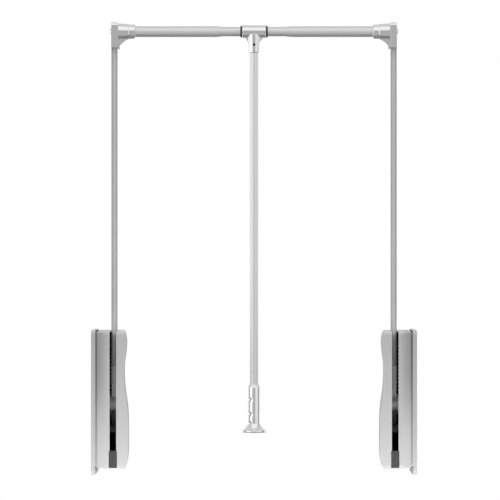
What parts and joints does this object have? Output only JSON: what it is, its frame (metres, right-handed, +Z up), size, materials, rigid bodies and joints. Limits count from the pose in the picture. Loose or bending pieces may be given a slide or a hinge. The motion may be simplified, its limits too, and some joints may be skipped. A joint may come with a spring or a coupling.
{
  "type": "pull down closet rod",
  "caption": "Wardrobe lift: wall-mounted spring units swing arms and a telescoping hang rod down when the hanging handle is pulled.",
  "frame": {"origin": "on the mid-plane between the wall plates, level with their foot, at mid-depth", "axes": "+X from the left wall plate to the right one, -Y towards the person, +Z up"},
  "size_m": [0.6, 0.11, 0.837],
  "materials": {
    "plate_paint": "satin silver",
    "housing_silver": "satin silver",
    "pad_grey": "matte",
    "zinc_steel": "zinc plated",
    "spring_steel": "bright",
    "damper_steel": "black",
    "hub_casting": "as cast",
    "stop_rubber": "matte",
    "bush_black": "matte",
    "glide_white": "matte",
    "arm_satin": "satin chrome",
    "tube_satin": "satin chrome",
    "handle_satin": "satin chrome",
    "corner_chrome": "polished",
    "grip_chrome": "chrome plated",
    "screw_dark": "black oxide"
  },
  "bodies": {
    "left_side_unit": {"wall_plate_left": "plate_paint", "bearing_plate_left": "zinc_steel", "spacer_pillars_left": "zinc_steel", "pillar_screws_left": "zinc_steel", "stop_sleeves_left": "stop_rubber", "pivot_axle_left": "zinc_steel", "axle_clip_left": "spring_steel", "housing_base_left": "housing_silver", "slot_pad_left": "pad_grey", "housing_cover_left": "housing_silver", "damper_cylinder_left": "damper_steel", "strut_pin_left": "zinc_steel", "balance_spring_left": "spring_steel"},
    "left_lift_frame": {"arm_hub_left": "hub_casting", "arm_rivets_left": "zinc_steel", "hub_bushes_left": "bush_black", "lift_arm_left": "arm_satin", "corner_head_left": "corner_chrome", "corner_screw_left": "corner_chrome", "tube_socket_left": "corner_chrome", "hang_tube_left": "tube_satin"},
    "left_plunger": {"cam_follower_left": "hub_casting", "piston_rod_left": "spring_steel"},
    "right_side_unit": {"wall_plate_right": "plate_paint", "bearing_plate_right": "zinc_steel", "spacer_pillars_right": "zinc_steel", "pillar_screws_right": "zinc_steel", "stop_sleeves_right": "stop_rubber", "pivot_axle_right": "zinc_steel", "axle_clip_right": "spring_steel", "housing_base_right": "housing_silver", "slot_pad_right": "pad_grey", "housing_cover_right": "housing_silver", "damper_cylinder_right": "damper_steel", "strut_pin_right": "zinc_steel", "balance_spring_right": "spring_steel"},
    "right_lift_frame": {"arm_hub_right": "hub_casting", "arm_rivets_right": "zinc_steel", "hub_bushes_right": "bush_black", "lift_arm_right": "arm_satin", "corner_head_right": "corner_chrome", "corner_screw_right": "corner_chrome", "tube_socket_right": "corner_chrome", "hang_tube_right": "tube_satin"},
    "right_plunger": {"cam_follower_right": "hub_casting", "piston_rod_right": "spring_steel"},
    "centre_rod": {"centre_tube": "tube_satin", "rod_end_glides": "glide_white", "tee_bushes": "bush_black"},
    "pull_handle": {"tee_connector": "corner_chrome", "tee_screw": "screw_dark", "pull_rod": "handle_satin", "grip": "grip_chrome"}
  },
  "joints": [
    {"name": "width_adjust", "type": "slide", "parent": "left_side_unit", "child": "right_side_unit", "axis": [1, 0, 0], "range_m": [0, 0.23]},
    {"name": "lift_swing", "type": "hinge", "parent": "left_side_unit", "child": "left_lift_frame", "pos_m": [-0.2598, 0, 0.126], "axis": [1, 0, 0], "range_deg": [0, 120], "stiffness_Nm_per_rad": 3, "springref_deg": -34.38},
    {"name": "right_swing", "type": "hinge", "parent": "right_side_unit", "child": "right_lift_frame", "pos_m": [0.2598, 0, 0.126], "axis": [1, 0, 0], "range_deg": [0, 120], "stiffness_Nm_per_rad": 3, "springref_deg": -34.38},
    {"name": "rod_extend", "type": "slide", "parent": "left_lift_frame", "child": "centre_rod", "axis": [1, 0, 0], "range_m": [0, 0.115]},
    {"name": "handle_swing", "type": "hinge", "parent": "centre_rod", "child": "pull_handle", "pos_m": [0, 0, 0.8204], "axis": [1, 0, 0], "continuous": true},
    {"name": "left_plunger_slide", "type": "slide", "parent": "left_side_unit", "child": "left_plunger", "axis": [0, 0, 1], "range_m": [0, 0.0336], "deforming": ["balance_spring_left"]},
    {"name": "right_plunger_slide", "type": "slide", "parent": "right_side_unit", "child": "right_plunger", "axis": [0, 0, 1], "range_m": [0, 0.0336], "deforming": ["balance_spring_right"]}
  ],
  "couplings": [
    {"joint": "right_swing", "follows": "lift_swing", "ratio": 1},
    {"joint": "rod_extend", "follows": "width_adjust", "ratio": 0.5},
    {"joint": "left_plunger_slide", "follows": "lift_swing", "m_per_rad": 0.016},
    {"joint": "right_plunger_slide", "follows": "lift_swing", "m_per_rad": 0.016}
  ]
}
